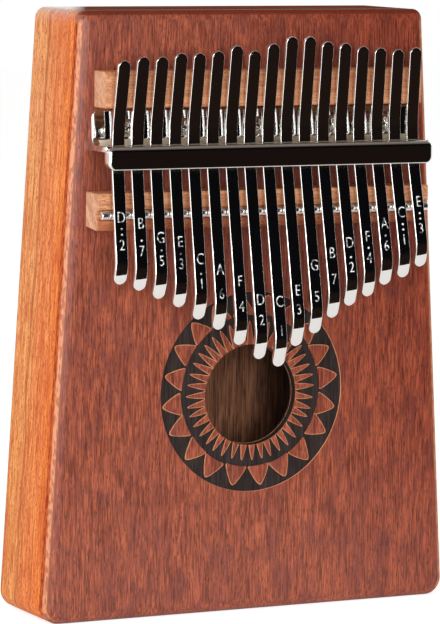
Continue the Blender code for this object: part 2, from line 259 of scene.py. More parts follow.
def rounded(points, radii, steps):
    """The closed outline with each corner replaced by an arc of its radius."""
    outline = []
    for i, (corner, radius) in enumerate(zip(points, radii)):
        if radius > 0:
            following = points[(i + 1) % len(points)]
            outline += corner_arc(points[i - 1], corner, following, radius, steps)
        else:
            outline.append(tuple(Vector(corner)))
    return outline


def block_outline(inset, low, high, low_corner, high_corner):
    """The body's leaning outline between two heights, drawn in by an inset."""
    low_half = WIDTH_AT_BOTTOM / 2 - LEAN * low - inset * hypot(1, LEAN)
    high_half = WIDTH_AT_BOTTOM / 2 - LEAN * high - inset * hypot(1, LEAN)
    corners = [(-low_half, low), (low_half, low), (high_half, high), (-high_half, high)]
    return rounded(corners, (low_corner, low_corner, high_corner, high_corner), 12)


def body_outline(inset):
    """The outline of the whole body, drawn in by an inset."""
    least = 0.0003
    corners = [max(corner - inset, least) for corner in (LOW_CORNER, HIGH_CORNER)]
    return block_outline(inset, inset, LENGTH - inset, *corners)


def quarter(steps):
    """An edge rounded over to a radius of 1: how far in it is, and how far down, from its top on."""
    turns = [pi / 2 * k / steps for k in range(steps + 1)]
    return [(1 - sin(turn), 1 - cos(turn)) for turn in turns]


def circle(x, z, radius, count):
    """A closed outline of points round a circle."""
    turns = [2 * pi * k / count for k in range(count)]
    return [(x + radius * cos(turn), z + radius * sin(turn)) for turn in turns]


def ring_at(shape, outline, y):
    """The outline's points in the bmesh, at a place along Y."""
    return [shape.verts.new((x, y, z)) for x, z in outline]


def wall(shape, rings, slot=0):
    """Faces from each ring to the next, which has as many points."""
    for near, far in zip(rings, rings[1:]):
        for i in range(len(near)):
            j = (i + 1) % len(near)
            shape.faces.new((near[i], near[j], far[j], far[i])).material_index = slot


def cover(shape, rings, slot=0):
    """A flat face inside the first ring and round the others."""
    flat = [[Vector((v.co.x, v.co.z, 0.0)) for v in ring] for ring in rings]
    every = [v for ring in rings for v in ring]
    for corners in tessellate_polygon(flat):
        shape.faces.new([every[i] for i in corners]).material_index = slot


def as_mesh(name, shape, looks=()):
    """The bmesh as a mesh with its materials."""
    mesh = bpy.data.meshes.new(name)
    shape.to_mesh(mesh)
    shape.free()
    for look in looks:
        mesh.materials.append(look)
    return mesh


def smoothed(mesh, below):
    """The mesh shaded smooth, but for edges sharper than an angle in degrees."""
    mesh.shade_smooth()
    mesh.set_sharp_from_angle(angle=below * pi / 180)
    return mesh


def evaluated_mesh(thing):
    """A mesh of the thing as its modifiers or its text make it."""
    return bpy.data.meshes.new_from_object(thing.evaluated_get(bpy.context.evaluated_depsgraph_get()))


def plain(piece):
    """The piece with its modifiers made part of its mesh."""
    ready = evaluated_mesh(piece)
    piece.modifiers.clear()
    piece.data = ready
    return piece


def finished(name, shape, looks, smooth_below=35):
    """A piece made from a bmesh, smooth but for its sharp edges, with its flat faces kept flat."""
    bmesh.ops.recalc_face_normals(shape, faces=shape.faces)
    piece = placed(name, smoothed(as_mesh(name, shape, looks), smooth_below))
    modifier = piece.modifiers.new("flat_faces", "WEIGHTED_NORMAL")
    modifier.weight = 100
    modifier.keep_sharp = True
    return plain(piece)


# Planed wood, satin varnished or bare: fine streaks along the grain, broader ribbons where the grain
# interlocks, cloudy darker patches and short dark pores. Streaks and pores are drawn about 0.4 mm wide, a
# little coarser than real ones, so that they show.
def grained(
    name, light, deep, cloud, pore, along=2, turned=(0.0, 0.0, 0.0), streak=(0.00045, 0.009),
    ribbon=(0.0026, 0.032), ribbons=0.45, patch=(0.008, 0.018), clouds=0.5, pores=0.6,
    pit=(0.0003, 0.004), rough=0.6, gloss=0.2,
):
    """A wood in four colours, with its tree, shader, coordinates and colour for what is painted over it."""
    look, tree, shader = material(name)
    spot = add(tree, "ShaderNodeTexCoord").outputs["Object"]

    def figure(size, detail, shift, bent=0.0):
        """A noise drawn out along the grain, from its size across and along it."""
        scale = [1 / size[0]] * 3
        scale[along] = 1 / size[1]
        stretched = add(
            tree, "ShaderNodeMapping", {"Location": shift, "Scale": scale},
            {"Vector": add(tree, "ShaderNodeMapping", {"Rotation": turned}, {"Vector": spot}).outputs[0]},
        )
        return add(
            tree, "ShaderNodeTexNoise", {"Scale": 1.0, "Detail": detail, "Distortion": bent},
            {"Vector": stretched.outputs[0]},
        ).outputs["Fac"]

    streaks = figure(streak, 2.0, (0.0, 0.0, 0.0))
    both = add(
        tree, "ShaderNodeMix", {"Factor": ribbons},
        {"A": streaks, "B": figure(ribbon, 2.0, (3.1, 1.7, 0.4), 0.3)}, data_type="FLOAT",
    )
    tone = add(
        tree, "ShaderNodeMapRange", {"From Min": 0.38, "From Max": 0.62}, {"Value": both.outputs["Result"]},
    )
    base = add(
        tree, "ShaderNodeMix", {"A": colour(deep), "B": colour(light)}, {"Factor": tone.outputs[0]},
        data_type="RGBA",
    ).outputs["Result"]
    cloudy = add(
        tree, "ShaderNodeMapRange", {"From Min": 0.47, "From Max": 0.64, "To Max": clouds},
        {"Value": figure(patch, 3.0, (5.3, 0.0, 2.2), 0.6)},
    )
    open_pore = add(
        tree, "ShaderNodeMapRange", {"From Min": 0.56, "From Max": 0.68},
        {"Value": figure(pit, 1.0, (8.0, 2.0, 5.0))},
    )
    shade = add(tree, "ShaderNodeMath", {1: pores}, {0: open_pore.outputs[0]}, operation="MULTIPLY")
    for tint, share in ((cloud, cloudy), (pore, shade)):
        base = add(
            tree, "ShaderNodeMix", {"B": colour(tint)}, {"Factor": share.outputs[0], "A": base},
            data_type="RGBA",
        ).outputs["Result"]
    tree.links.new(base, shader.inputs["Base Color"])
    uneven = add(
        tree, "ShaderNodeMapRange", {"To Min": rough - 0.05, "To Max": rough + 0.08}, {"Value": streaks},
    )
    tree.links.new(uneven.outputs[0], shader.inputs["Roughness"])
    bump = add(
        tree, "ShaderNodeBump", {"Strength": 0.35, "Distance": 0.00004}, {"Height": open_pore.outputs[0]},
        invert=True,
    )
    tree.links.new(bump.outputs[0], shader.inputs["Normal"])
    shader.inputs["Specular IOR Level"].default_value = gloss
    return look, tree, shader, spot, base


def tinted(tree, base, tint, value, start, end, share=1.0, blend="MULTIPLY"):
    """A colour with a tint that comes in by its share as a value goes from start to end."""
    part = add(
        tree, "ShaderNodeMapRange", {"From Min": start, "From Max": end, "To Max": share}, {"Value": value},
    )
    return add(
        tree, "ShaderNodeMix", {"B": colour(tint)}, {"Factor": part.outputs[0], "A": base},
        data_type="RGBA", blend_type=blend,
    ).outputs["Result"]


golden_sapele, tree, shader, spot, base = grained(
    "golden_sapele", "FEBC7C", "C86834", "D87C4A", "A8481C", streak=(0.00045, 0.0110),
    ribbon=(0.0022, 0.040), ribbons=0.35, pores=0.85, pit=(0.00036, 0.0013), rough=0.55,
)
apart = add(tree, "ShaderNodeSeparateXYZ", links={0: spot})
# Redder heartwood in the middle of the depth, a bright orange band beside the glue, painted shade on the
# rounded back edge, and a warmer colour towards the bottom, whose edge gets a painted contact shadow.
for axis, start, end, tint in (
    ("Y", 0.0060, -0.0030, "FFE4D6"), ("Y", -0.0068, -0.0105, "FFEFCC"),
    # Painted shade on the rounded back edge.
    ("Y", BACK - 0.0024, BACK - 0.0014, "C4C3DD"),
    # Warmer towards the bottom, then a painted contact shadow along the bottom edge.
    ("Z", 0.1500, 0.0500, "FFF3DC"), ("Z", 0.0010, 0.0003, "B49C98"),
):
    base = tinted(tree, base, tint, apart.outputs[axis], start, end)
# A wavy red-brown line of denser wood about 13 mm from the back.
wander = add(tree, "ShaderNodeTexNoise", {"Scale": 60.0, "Detail": 3.0}, {"Vector": spot})
uneven = add(
    tree, "ShaderNodeMapRange", {"To Min": -0.0022, "To Max": 0.0022}, {"Value": wander.outputs["Fac"]},
)
across = add(tree, "ShaderNodeMath", links={0: apart.outputs["Y"], 1: uneven.outputs[0]}, operation="ADD")
off = add(tree, "ShaderNodeMath", {1: 0.0042}, {0: across.outputs[0]}, operation="SUBTRACT")
off = add(tree, "ShaderNodeMath", links={0: off.outputs[0]}, operation="ABSOLUTE")
base = tinted(tree, base, "A84C20", off.outputs[0], 0.0010, 0.0002, 0.6, "MIX")
# The tail end is dark end grain with its growth rings across it, but for its left corner, which keeps the
# paler face colour as a painted highlight and has a coat that shines.
# The left corner, left pale as a painted highlight, is marked off by a line across the tail end.
across = add(tree, "ShaderNodeVectorMath", {1: (0.907, -0.42, 0.0)}, {0: spot}, operation="DOT_PRODUCT")
beyond_painted_highlight = add(
    tree, "ShaderNodeMapRange", {"From Min": -0.0475, "From Max": -0.0430},
    {"Value": across.outputs["Value"]},
)
drawn = add(
    tree, "ShaderNodeMapping", {"Rotation": (0.0, 0.0, 0.05), "Scale": (60.0, 900.0, 1.0)},
    {"Vector": spot},
)
growth = add(
    tree, "ShaderNodeTexNoise", {"Scale": 1.0, "Detail": 3.0, "Distortion": 0.4},
    {"Vector": drawn.outputs[0]},
)
growth = add(
    tree, "ShaderNodeMapRange", {"From Min": 0.35, "From Max": 0.65}, {"Value": growth.outputs["Fac"]},
)
ringed = add(
    tree, "ShaderNodeMix", {"A": colour("80402F"), "B": colour("B0664E")}, {"Factor": growth.outputs[0]},
    data_type="RGBA",
)
end_band = add(
    tree, "ShaderNodeMapRange", {"From Min": LENGTH - 0.0006, "From Max": LENGTH - 0.0002},
    {"Value": apart.outputs["Z"]},
)
end_band = add(
    tree, "ShaderNodeMath", links={0: end_band.outputs[0], 1: beyond_painted_highlight.outputs[0]}, operation="MULTIPLY",
)
base = add(
    tree, "ShaderNodeMix", links={"Factor": end_band.outputs[0], "A": base, "B": ringed.outputs["Result"]},
    data_type="RGBA",
).outputs["Result"]
tree.links.new(base, shader.inputs["Base Color"])
dull = add(tree, "ShaderNodeMath", {1: -0.2, 2: 0.2}, {0: end_band.outputs[0]}, operation="MULTIPLY_ADD")
tree.links.new(dull.outputs[0], shader.inputs["Specular IOR Level"])
sealed = add(
    tree, "ShaderNodeMapRange", {"From Min": LENGTH - 0.0045, "From Max": LENGTH - 0.0010},
    {"Value": apart.outputs["Z"]},
)
sealed = add(
    tree, "ShaderNodeMath", links={0: sealed.outputs[0], 1: beyond_painted_highlight.outputs[0]}, operation="SUBTRACT",
    use_clamp=True,
)
tree.links.new(sealed.outputs[0], shader.inputs["Coat Weight"])
shader.inputs["Coat Roughness"].default_value = 0.15

# Inside, the wood is bare, so it is dull and browner, and painted shade darkens it to the right.
bare_sapele, tree, shader, spot, base = grained(
    "bare_sapele", "A26E50", "623C2C", "5E4034", "2A1810", streak=(0.00045, 0.012), ribbons=0.25,
    clouds=0.3, rough=0.75,
)
across = add(tree, "ShaderNodeSeparateXYZ", links={0: spot}).outputs["X"]
# Painted shade on the right of the hollow.
tree.links.new(tinted(tree, base, "746E68", across, 0.013, 0.0245), shader.inputs["Base Color"])

shape = bmesh.new()
outer = [ring_at(shape, body_outline(0.0), BODY_FRONT)]
for inset, down in reversed(quarter(8)):
    outer.append(ring_at(shape, body_outline(BACK_ROUND * inset), BACK - BACK_ROUND * down))
wall(shape, outer)
pocket = block_outline(SIDE_WALL, POCKET_LOW, POCKET_HIGH, POCKET_CORNER, POCKET_CORNER)
mouth = ring_at(shape, pocket, BODY_FRONT)
bed = ring_at(shape, pocket, BACK - BACK_WALL)
wall(shape, [mouth, bed], 1)
cover(shape, [outer[0], mouth], 1)
inner_holes = []
outer_holes = []
for side in (-1, 1):
    drilled = circle(side * FINGER_HOLE_X, FINGER_HOLE_Z, FINGER_HOLE, 40)
    inner_holes.append(ring_at(shape, drilled, BACK - BACK_WALL))
    outer_holes.append(ring_at(shape, drilled, BACK))
    wall(shape, [inner_holes[-1], outer_holes[-1]], 1)
cover(shape, [bed] + inner_holes, 1)
cover(shape, [outer[-1]] + outer_holes)
body = finished("hollow_sapele_body", shape, [golden_sapele, bare_sapele])
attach(body, "instrument")
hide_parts("hollow_body")

# The soundboard: a thin sapele board glued over the hollow, redder than the body, its front edge gently
# rounded over. A round hole is cut through it, and a ring round the hole is burnt and cut a little below
# the surface.
HOLE_Z = 0.0652
HOLE = 0.0150
RING_X = 0.0004
RING_Z = 0.0661
RING = 0.0302
CUT = 0.00030
CUT_SLANT = 0.00014
CHAR = 0.0001
CHARRED_TO = 0.0026
EASE_WIDE = 0.0045
EASE_DEEP = 0.0015

red_sapele, tree, shader, spot, base = grained(
    "red_sapele", "BC6243", "72301E", "743833", "4C1F13", streak=(0.00030, 0.0052), ribbon=(0.0030, 0.022),
    ribbons=0.25, patch=(0.005, 0.009), pores=0.65, pit=(0.0003, 0.0017), rough=0.36, gloss=0.6,
)
apart = add(tree, "ShaderNodeSeparateXYZ", links={0: spot})
# Painted shade makes the board darker and redder towards its upper right.
towards = add(tree, "ShaderNodeVectorMath", {1: (1.0, 0.0, 0.3)}, {0: spot}, operation="DOT_PRODUCT")
base = tinted(tree, base, "E6CCC1", towards.outputs["Value"], 0.025, 0.090)
# Along the sides the round-over starts at a thin dark line of painted shade, with paler wood and a dark
# orange glue line behind it. The bottom edge gets a painted contact shadow, and the tail edge is dark end
# grain, partly painted shade.
beside = add(tree, "ShaderNodeMath", links={0: apart.outputs["X"]}, operation="ABSOLUTE")
beside = add(
    tree, "ShaderNodeMath", {1: LEAN}, {0: apart.outputs["Z"], 2: beside.outputs[0]},
    operation="MULTIPLY_ADD",
)
sides = add(
    tree, "ShaderNodeMapRange",
    {"From Min": WIDTH_AT_BOTTOM / 2 - 0.006, "From Max": WIDTH_AT_BOTTOM / 2 - 0.005},
    {"Value": beside.outputs[0]},
)
for start, end in ((LENGTH - 0.0025, LENGTH - 0.0040), (0.0010, 0.0030)):
    within = add(
        tree, "ShaderNodeMapRange", {"From Min": start, "From Max": end}, {"Value": apart.outputs["Z"]},
    )
    sides = add(
        tree, "ShaderNodeMath", links={0: sides.outputs[0], 1: within.outputs[0]}, operation="MULTIPLY",
    )
wander = add(tree, "ShaderNodeTexNoise", {"Scale": 110.0, "Detail": 3.0}, {"Vector": spot})
uneven = add(
    tree, "ShaderNodeMapRange", {"To Min": -0.0004, "To Max": 0.0004}, {"Value": wander.outputs["Fac"]},
)
strayed = add(tree, "ShaderNodeMath", links={0: apart.outputs["Y"], 1: uneven.outputs[0]}, operation="ADD")
drawn = add(tree, "ShaderNodeMapping", {"Scale": (1500.0, 1500.0, 420.0)}, {"Vector": spot})
dots = add(tree, "ShaderNodeTexNoise", {"Scale": 1.0, "Detail": 1.0}, {"Vector": drawn.outputs[0]})
dotted = add(
    tree, "ShaderNodeMapRange", {"From Min": 0.44, "From Max": 0.60}, {"Value": dots.outputs["Fac"]},
)
pale = add(
    tree, "ShaderNodeMix", {"A": colour("DE9468"), "B": colour("B46440")}, {"Factor": dotted.outputs[0]},
    data_type="RGBA",
)
glue = add(
    tree, "ShaderNodeMix", {"A": colour("D4601E"), "B": colour("962C0C")}, {"Factor": dotted.outputs[0]},
    data_type="RGBA",
)
line = add(tree, "ShaderNodeRGB")
line.outputs[0].default_value = colour("94461E")
for start, end, value, paint, share in (
    # A thin line of painted shade where the round-over starts.
    (0.00032, 0.00038, apart.outputs["Y"], line.outputs[0], 0.85),
    (0.00048, 0.00056, apart.outputs["Y"], pale.outputs["Result"], 0.82),
    (0.00125, 0.00160, strayed.outputs[0], glue.outputs["Result"], 0.95),
):
    deep = add(
        tree, "ShaderNodeMapRange", {"From Min": FRONT + start, "From Max": FRONT + end, "To Max": share},
        {"Value": value},
    )
    deep = add(
        tree, "ShaderNodeMath", links={0: deep.outputs[0], 1: sides.outputs[0]}, operation="MULTIPLY",
    )
    base = add(
        tree, "ShaderNodeMix", links={"Factor": deep.outputs[0], "A": base, "B": paint}, data_type="RGBA",
    ).outputs["Result"]
for start, end, tint, share in (
    # A painted contact shadow along the bottom edge, and dark end grain at the tail edge that is partly
    # painted shade.
    (0.0009, 0.0002, "6E4C48", 0.7), (LENGTH - 0.0016, LENGTH - 0.0011, "6A2C1C", 0.85),
):
    end_band = add(
        tree, "ShaderNodeMapRange", {"From Min": start, "From Max": end, "To Max": share},
        {"Value": apart.outputs["Z"]},
    )
    base = add(
        tree, "ShaderNodeMix", {"B": colour(tint)}, {"Factor": end_band.outputs[0], "A": base},
        data_type="RGBA",
    ).outputs["Result"]
tree.links.new(base, shader.inputs["Base Color"])
dull = add(tree, "ShaderNodeMath", links={0: deep.outputs[0], 1: end_band.outputs[0]}, operation="MAXIMUM")
dull = add(tree, "ShaderNodeMath", {1: -0.6, 2: 0.6}, {0: dull.outputs[0]}, operation="MULTIPLY_ADD")
tree.links.new(dull.outputs[0], shader.inputs["Specular IOR Level"])

# Wood charred by the burning tool: near black, with the grain still showing as lighter streaks.
charred_sapele = grained("charred_sapele", "3E3330", "221C1B", "1D1716", "120F0F", rough=0.7)[0]
# Fresh wood along the cuts, paler than the varnished face.
fresh_cut = grained("fresh_cut_sapele", "E0A078", "C98058", "B8704C", "9A5438")[0]

shape = bmesh.new()
rings = []
for inset, down in quarter(12):
    rings.append(ring_at(shape, body_outline(EASE_WIDE * inset), FRONT + EASE_DEEP * down))
rings.append(ring_at(shape, body_outline(0.0), BOARD_BACK))
wall(shape, rings)
lip = ring_at(shape, circle(RING_X, RING_Z, RING, 160), FRONT)
foot = ring_at(shape, circle(RING_X, RING_Z, RING - CUT_SLANT, 160), FRONT + CUT)
hole_rings = [
    ring_at(shape, circle(0, HOLE_Z, radius, 160), y)
    for radius, y in (
        (HOLE, FRONT + CUT), (HOLE, FRONT + CHARRED_TO), (HOLE - CHAR, FRONT + CHARRED_TO),
        (HOLE - CHAR, BOARD_BACK),
    )
]
cover(shape, [rings[0], lip])
wall(shape, [lip, foot], 2)
wall(shape, [foot, hole_rings[0]], 1)
for i, slot in enumerate((1, 2, 1)):
    wall(shape, hole_rings[i:i + 2], slot)
cover(shape, [rings[-1], hole_rings[-1]])
board = finished("sapele_soundboard", shape, [red_sapele, charred_sapele, fresh_cut])
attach(board, "instrument")
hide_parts("soundboard")

# The sunburst round the hole: points of wood left standing in the burnt ring, large ones round its middle
# and narrow ones round the hole, each with a pale cut edge. They are cut by hand, so each strays a
# little.
SECTORS = 20
TRIANGLE = ((0.0, 0.92), (0.06, 1.0), (0.30, 0.84), (0.55, 0.62), (0.80, 0.36), (0.93, 0.19), (1.0, 0.0))
SPIKE = ((0.0, 1.0), (0.30, 0.92), (0.60, 0.68), (0.80, 0.44), (0.93, 0.24), (1.0, 0.0))
POINTS = (
    (0.0229, 0.0291, 0.0067, 6.5 * pi / 180, TRIANGLE),
    (0.0138, 0.0212, 0.0020, 1.5 * pi / 180, SPIKE),
    (0.0138, 0.0212, 0.0020, 10.5 * pi / 180, SPIKE),
)
BURST_Z = 0.0664
HOLE_RIM = 0.00015
ROOT = 0.00005


def point_outline(base, tip, width, at, side, grow):
    """A point from an arc at a base radius to a tip, turned by an angle, made bigger all round by grow."""
    tip += grow * 1.5
    half = width / 2 + grow
    outline = [(base + (tip - base) * t, half * w) for t, w in side]
    outline += [(r, -w) for r, w in reversed(outline[:-1])]
    outline += [(sqrt(base ** 2 + half ** 2 * (1 - w ** 2)), half * w) for w in (-0.5, 0.0, 0.5)]
    return [(r * cos(at) - w * sin(at), r * sin(at) + w * cos(at)) for r, w in outline]


def sector(name, grow, low, high, look):
    """One large point and two narrow ones, as prisms between two depths, about the sunburst's middle."""
    shape = bmesh.new()
    for point in POINTS:
        outline = point_outline(*point, grow)
        rings = [ring_at(shape, outline, y) for y in (low, high)]
        wall(shape, rings)
        for ring in rings:
            shape.faces.new(ring)
    bmesh.ops.recalc_face_normals(shape, faces=shape.faces)
    return bpy.data.objects.new(name, as_mesh(name, shape, [look]))


def pattern(name, sockets):
    """A geometry node tree with named inputs, and the identifier of each."""
    group = bpy.data.node_groups.new(name, "GeometryNodeTree")
    group.interface.new_socket("Geometry", in_out="OUTPUT", socket_type="NodeSocketGeometry")
    inputs = {}
    for label, kind in sockets:
        socket = group.interface.new_socket(label, in_out="INPUT", socket_type="NodeSocket" + kind)
        inputs[label] = socket.identifier
    return group, inputs


def laid_out(piece, group, inputs, values):
    """The piece's mesh laid out by a pattern with its values."""
    modifier = piece.modifiers.new(group.name, "NODES")
    modifier.node_group = group
    for label, value in values.items():
        modifier[inputs[label]] = value
    return plain(piece)


burst, inputs = pattern(
    "points_round_a_hole",
    (("Sector", "Object"), ("Sectors", "Int"), ("Wood", "Material"), ("Seed", "Int")),
)
given = add(burst, "NodeGroupInput")
line = add(burst, "GeometryNodeMeshLine", {"Offset": (0.0, 0.0, 0.0)}, {"Count": given.outputs["Sectors"]})
number = add(burst, "GeometryNodeInputIndex")
share = add(
    burst, "ShaderNodeMath", links={0: number.outputs[0], 1: given.outputs["Sectors"]}, operation="DIVIDE",
)
turned = add(burst, "ShaderNodeMath", {1: -2 * pi}, {0: share.outputs[0]}, operation="MULTIPLY")
spin = add(burst, "ShaderNodeCombineXYZ", links={"Y": turned.outputs[0]})
astray = add(
    burst, "FunctionNodeRandomValue", {"Min": (0.0, -0.016, 0.0), "Max": (0.0, 0.016, 0.0)},
    {"Seed": given.outputs["Seed"]}, data_type="FLOAT_VECTOR",
)
spin = add(
    burst, "ShaderNodeVectorMath", links={0: spin.outputs[0], 1: astray.outputs["Value"]}, operation="ADD",
)
longer = add(
    burst, "FunctionNodeRandomValue", {"Min": (0.985, 1.0, 0.985), "Max": (1.01, 1.0, 1.01)},
    {"Seed": given.outputs["Seed"]}, data_type="FLOAT_VECTOR",
)
one = add(burst, "GeometryNodeObjectInfo", links={"Object": given.outputs["Sector"]})
spread = add(
    burst, "GeometryNodeInstanceOnPoints",
    links={
        "Points": line.outputs[0], "Instance": one.outputs["Geometry"], "Rotation": spin.outputs[0],
        "Scale": longer.outputs["Value"],
    },
)
real = add(burst, "GeometryNodeRealizeInstances", links={0: spread.outputs[0]})
dressed = add(
    burst, "GeometryNodeSetMaterial",
    links={"Geometry": real.outputs[0], "Material": given.outputs["Wood"]},
)
add(burst, "NodeGroupOutput", links={0: dressed.outputs[0]})

for name, grow, lift, look in (
    ("sunburst_cut_edges", 0.00010, 0.00006, fresh_cut),
    ("sunburst_points", -0.00014, 0.0, red_sapele),
):
    one_sector = sector(name + "_sector", grow, FRONT + lift, FRONT + CUT + ROOT, look)
    piece = laid_out(
        placed(name, bpy.data.meshes.new(name)), burst, inputs,
        {"Sector": one_sector, "Sectors": SECTORS, "Wood": look, "Seed": 3},
    )
    for corner in piece.data.vertices:
        corner.co.z += BURST_Z
        out = Vector((corner.co.x, corner.co.z - HOLE_Z))
        if out.length < HOLE + HOLE_RIM:
            out *= (HOLE + HOLE_RIM) / out.length
            corner.co.x = out.x
            corner.co.z = HOLE_Z + out.y
    bpy.data.objects.remove(one_sector, do_unlink=True)
    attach(piece, "instrument")

# The two bridges: bars of paler wood glued across the soundboard, bare and sanded, with the grain along
# them. The front one is grooved for the steel rod that the keys bear on.
bridge_wood, tree, shader, spot, base = grained(
    "bridge_beech", "E6A87E", "BE7A52", "CC9068", "925236", along=0, streak=(0.00045, 0.005),
    ribbon=(0.002, 0.012), clouds=0.4, pores=0.7, pit=(0.00035, 0.0011),
)
# Painted shade makes the front bridge pinker and darker in front of the rod.
height = add(tree, "ShaderNodeSeparateXYZ", links={0: spot}).outputs["Z"]
tree.links.new(tinted(tree, base, "E4CCC6", height, 0.1205, 0.1195), shader.inputs["Base Color"])
bridge_end = grained(
    "bridge_end_grain", "EEC2A2", "C88A66", "D69C7E", "A0603A", turned=(0.62, 0.0, 0.0),
    streak=(0.0005, 0.0032), clouds=0.4, pores=0.5, pit=(0.0004, 0.0012), rough=0.65,
)[0]

GLUE = 0.00002
REAR_TOP = 0.0080
REAR_Z = (0.1520, 0.1627)
FRONT_TOP = 0.0088
FRONT_Z = (0.1172, 0.1275)
FRONT_TOP_Z = 0.1163
GROOVE = 0.00165
ROD = 0.00135
ROD_HALF = 0.0539
ROD_Z = 0.1211
ROD_HEIGHT = 0.0091


def outward(outline):
    """The way out at each point of a closed outline, longer at a corner, so that an inset stays even."""
    area = sum(outline[i - 1][0] * z - x * outline[i - 1][1] for i, (x, z) in enumerate(outline))
    directions = []
    for i, point in enumerate(outline):
        before = (Vector(point) - Vector(outline[i - 1])).normalized()
        after = (Vector(outline[(i + 1) % len(outline)]) - Vector(point)).normalized()
        both = Vector((before.y + after.y, -before.x - after.x)) * (1 if area > 0 else -1)
        directions.append(both * 2 / both.length_squared)
    return directions


def drawn_in(outline, inset):
    """The closed outline, drawn in evenly by an inset."""
    return [(x - d.x * inset, z - d.y * inset) for (x, z), d in zip(outline, outward(outline))]


def mirrored(sections):
    """Sections from one end to the other, from those of the right end inwards."""
    return [(-x, outline) for x, outline in sections] + sections[::-1]


def lofted(name, sections, looks, end_slot=0):
    """A piece through outlines of (height over the soundboard, z) that are set at places along X."""
    shape = bmesh.new()
    rings = [[shape.verts.new((x, FRONT - h, z)) for h, z in outline] for x, outline in sections]
    wall(shape, rings)
    for ring in (rings[0], rings[-1]):
        shape.faces.new(ring).material_index = end_slot
    return finished(name, shape, looks)


def eased(outline, half, ease):
    """Sections of a bar whose ends are rounded over by ease."""
    return mirrored([(half - ease * down, drawn_in(outline, ease * inset)) for inset, down in quarter(4)])


corners = [(GLUE, REAR_Z[0]), (REAR_TOP, REAR_Z[0]), (REAR_TOP, REAR_Z[1]), (GLUE, REAR_Z[1])]
rear_outline = rounded(corners, (0, 0.0007, 0.0006, 0), 6)
corners = [(GLUE, FRONT_Z[0]), (FRONT_TOP, FRONT_TOP_Z), (FRONT_TOP, FRONT_Z[1]), (GLUE, FRONT_Z[1])]
plain_outline = rounded(corners, (0, 0.0015, 0.0006, 0), 8)
edge_turn = asin((ROD_HEIGHT - FRONT_TOP) / GROOVE)
arc = []
for k in range(17):
    turn = pi + edge_turn + (pi - 2 * edge_turn) * k / 16
    arc.append((ROD_HEIGHT + GROOVE * sin(turn), ROD_Z + GROOVE * cos(turn)))
# The groove comes after the ten points of the outline's first two corners.
front_outline = plain_outline[:10] + arc + plain_outline[10:]
for name, outline, half, node in (
    ("rear_bridge_bar", rear_outline, 0.0522, "rear_bridge"),
    ("front_bridge_bar", front_outline, 0.0546, "front_bridge"),
):
    bridge = lofted(name, eased(outline, half, 0.0003), [bridge_wood, bridge_end], end_slot=1)
    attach(bridge, "instrument")
    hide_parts(node)


# The rod that the keys bear on: steel with satin nickel plating, lying in the front bridge's groove.
# Plating mirrors what is round it, blurred where it is satin, faintly warm, and with the slightest
# unevenness.
def plated(name, tint, roughness, wave):
    """Plated metal, with the height of its ripples."""
    look, tree, shader = material(name)
    shader.inputs["Base Color"].default_value = colour(tint)
    shader.inputs["Metallic"].default_value = 1.0
    spot = add(tree, "ShaderNodeTexCoord").outputs["Object"]
    patchy = add(tree, "ShaderNodeTexNoise", {"Scale": 400.0, "Detail": 3.0}, {"Vector": spot})
    rough = add(
        tree, "ShaderNodeMapRange", {"To Min": roughness * 0.7, "To Max": roughness * 1.3},
        {"Value": patchy.outputs["Fac"]},
    )
    tree.links.new(rough.outputs[0], shader.inputs["Roughness"])
    ripple = add(tree, "ShaderNodeTexNoise", {"Scale": 350.0, "Detail": 1.0}, {"Vector": spot})
    bump = add(
        tree, "ShaderNodeBump", {"Strength": 1.0, "Distance": wave}, {"Height": ripple.outputs["Fac"]},
    )
    tree.links.new(bump.outputs[0], shader.inputs["Normal"])
    return look


satin_nickel = plated("satin_nickel_steel", "F0EEEA", 0.24, 0.000002)
rod = lofted("bridge_rod_bar", eased(circle(ROD_HEIGHT, ROD_Z, ROD, 40), ROD_HALF, 0.0004), [satin_nickel])
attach(rod, "instrument")
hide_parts("bridge_rod")

# The pressure bracket: one chromed casting, with a screwed flange, an upright wall with a window for each
# key, and the bar that presses the keys down. It is polished but for the corner behind the wall, where no
# wheel reaches.
PITCH = 0.00609
MIDDLE_KEY_X = 0.0003
FAN = 0.66
BRACKET_HALF = 0.0533
FLANGE_CORNER = 0.0020
FLANGE_TAIL = 0.1511
FLANGE_UNDERSIDE = 0.00004
FLANGE_THICK = 0.0014
FLANGE_THIN = 0.0009
END_EASE = 0.00040
CAST_TO = 0.1445
WALL_LOW = 0.1393
WALL_HIGH = 0.1412
WALL_TOP = 0.0110
BAR_LOW = 0.1344
BAR_UNDERSIDE = 0.0096
BAR_UNDER_EASE = 0.0007
BAR_TOP = 0.0135
BAR_TAIL_EDGE = 0.0015
BAR_LOW_EDGE = 0.00045
BAR_END_EDGE = 0.0009
WINDOW_HALF = 0.00245
WINDOW_FOOT = 0.0068
WINDOW_TOP = 0.00935
nickel = plated("polished_nickel_steel", "F4F2EE", 0.06, 0.000002)
chrome = plated("bright_chrome", "EDECEA", 0.05, 0.000010)
# As cast and then plated, the corner's rough skin scatters light, so it is only partly a mirror.
cast_corner = plated("unpolished_chrome", "FAF0DA", 0.45, 0.000030)
cast_corner.node_tree.nodes["Principled BSDF"].inputs["Metallic"].default_value = 0.3


def plate_outline(cut):
    """The flange and wall in section, the flange's tail edge drawn in by a cut."""
    corners = [
        (FLANGE_UNDERSIDE, FLANGE_TAIL - cut), (FLANGE_UNDERSIDE, WALL_LOW), (WALL_TOP, WALL_LOW),
        (WALL_TOP, WALL_HIGH), (FLANGE_THICK, WALL_HIGH), (FLANGE_THIN, FLANGE_TAIL - cut),
    ]
    return rounded(corners, (0, 0, 0, 0, 0.0022, 0.0004), 8)


